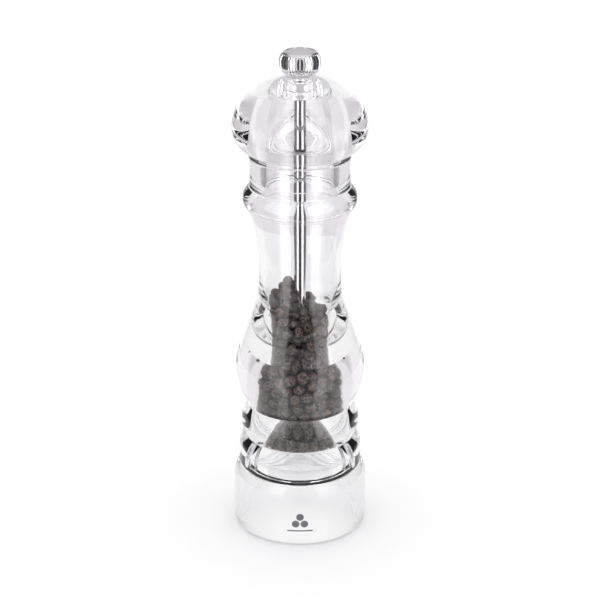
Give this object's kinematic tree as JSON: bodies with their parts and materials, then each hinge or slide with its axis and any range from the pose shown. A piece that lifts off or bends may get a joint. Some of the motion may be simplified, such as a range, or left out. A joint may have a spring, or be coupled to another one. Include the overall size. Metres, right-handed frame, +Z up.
{
  "type": "pepper mill",
  "caption": "Tall clear pepper mill with a turned body full of peppercorns, a steel shaft and burr in its base, an onion-shaped clear head and a fluted metal knob.",
  "frame": {"origin": "centre of the face that the mill stands on", "axes": "+Z up along the shaft; the printed mark faces -Y"},
  "size_m": [0.06, 0.0601, 0.22],
  "materials": {
    "clear_acrylic": "clear polished",
    "mark_ink": "printed",
    "bright_steel": "turned",
    "burr_steel": "hardened, cut teeth",
    "spring_steel": "drawn wire",
    "shaft_steel": "polished",
    "knob_chrome": "polished",
    "brass": "turned",
    "white_nylon": "moulded",
    "peppercorns": "wrinkled, dry"
  },
  "bodies": {
    "body": {"body_shell": "clear_acrylic", "front_mark": "mark_ink", "ring_housing": "bright_steel", "grind_ring": "burr_steel", "bridge_bar": "bright_steel", "bridge_bush": "brass", "bridge_screws": "bright_steel", "peppercorn_fill": "peppercorns"},
    "spindle_seat": {"thrust_washer": "brass"},
    "spindle": {"shaft": "shaft_steel", "male_burr": "burr_steel", "burr_pin": "bright_steel", "spring": "spring_steel"},
    "head": {"head_shell": "clear_acrylic", "drive_bush": "white_nylon", "drive_plate": "bright_steel", "drive_screws": "bright_steel"},
    "knob_seat": {"knob_washer": "white_nylon"},
    "knob": {"knob_shell": "knob_chrome", "knob_insert": "brass", "knob_disc": "knob_chrome"}
  },
  "joints": [
    {"name": "head_turn", "type": "hinge", "parent": "body", "child": "spindle_seat", "pos_m": [0, 0, 0.0255], "axis": [0, 0, 1], "continuous": true},
    {"name": "grind_adjust", "type": "slide", "parent": "spindle_seat", "child": "spindle", "axis": [0, 0, 1], "range_m": [-0.0015, 0.0006], "deforming": ["spring"]},
    {"name": "head_lift", "type": "slide", "parent": "spindle_seat", "child": "head", "axis": [0, 0, 1], "range_m": [0, 0.06]},
    {"name": "knob_lift", "type": "slide", "parent": "head", "child": "knob_seat", "axis": [0, 0, 1], "range_m": [0, 0.015]},
    {"name": "knob_turn", "type": "hinge", "parent": "knob_seat", "child": "knob", "pos_m": [0, 0, 0.20946], "axis": [0, 0, 1], "range_deg": [-300, 720]}
  ],
  "couplings": [
    {"joint": "grind_adjust", "follows": "knob_turn", "m_per_rad": -0.00011141}
  ]
}
